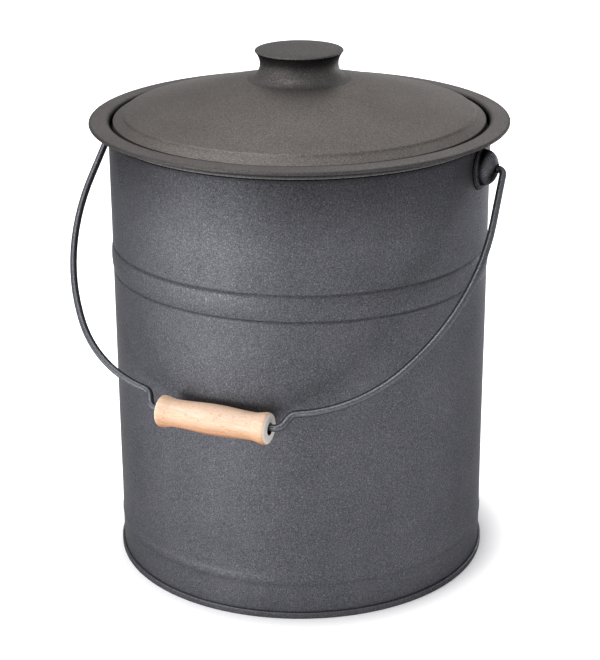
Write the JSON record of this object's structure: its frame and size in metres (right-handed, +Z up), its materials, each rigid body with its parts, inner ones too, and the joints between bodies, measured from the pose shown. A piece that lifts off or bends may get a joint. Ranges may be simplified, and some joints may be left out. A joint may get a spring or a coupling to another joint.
{
  "type": "ash bucket",
  "caption": "Round lidded metal ash bucket with a domed lift-off lid and knob, a flanged rim, and a swinging wire bail with a turned wooden grip.",
  "frame": {"origin": "centre of the base on the floor, on the bucket's axis", "axes": "+Z up the bucket's axis; X along the bail's pivot through both ears; the bail hangs down at -Y with its grip against the wall"},
  "size_m": [0.3382, 0.3294, 0.4036],
  "materials": {
    "body_coat": "charcoal powder coat with a fine sandy texture, matt",
    "lid_coat": "warm charcoal powder coat with a fine sandy texture, matt",
    "wire_coat": "dark charcoal powder coat, matt",
    "grip_wood": "turned beech, sanded and oiled",
    "bare_steel": "zinc plated, satin"
  },
  "bodies": {
    "bucket": {"body_wall": "body_coat", "bottom_plate": "body_coat", "inner_bottom": "body_coat", "rim_ring": "lid_coat", "rim_wire": "bare_steel", "ear_left": "body_coat", "ear_right": "body_coat"},
    "bail": {"bail_wire": "wire_coat"},
    "grip": {"grip": "grip_wood"},
    "lid": {"lid_shell": "lid_coat", "knob": "lid_coat", "knob_stud": "bare_steel", "knob_washer": "bare_steel", "knob_nut": "bare_steel"}
  },
  "joints": [
    {"name": "bail_swing", "type": "hinge", "parent": "bucket", "child": "bail", "pos_m": [0, 0, 0.3272], "axis": [-1, 0, 0], "range_deg": [0, 272.2]},
    {"name": "grip_spin", "type": "hinge", "parent": "bail", "child": "grip", "pos_m": [0, -0.1576, 0.16322], "axis": [1, 0, 0], "continuous": true},
    {"name": "lid_lift", "type": "slide", "parent": "bucket", "child": "lid", "axis": [0, 0, 1], "range_m": [0, 0.09]}
  ]
}
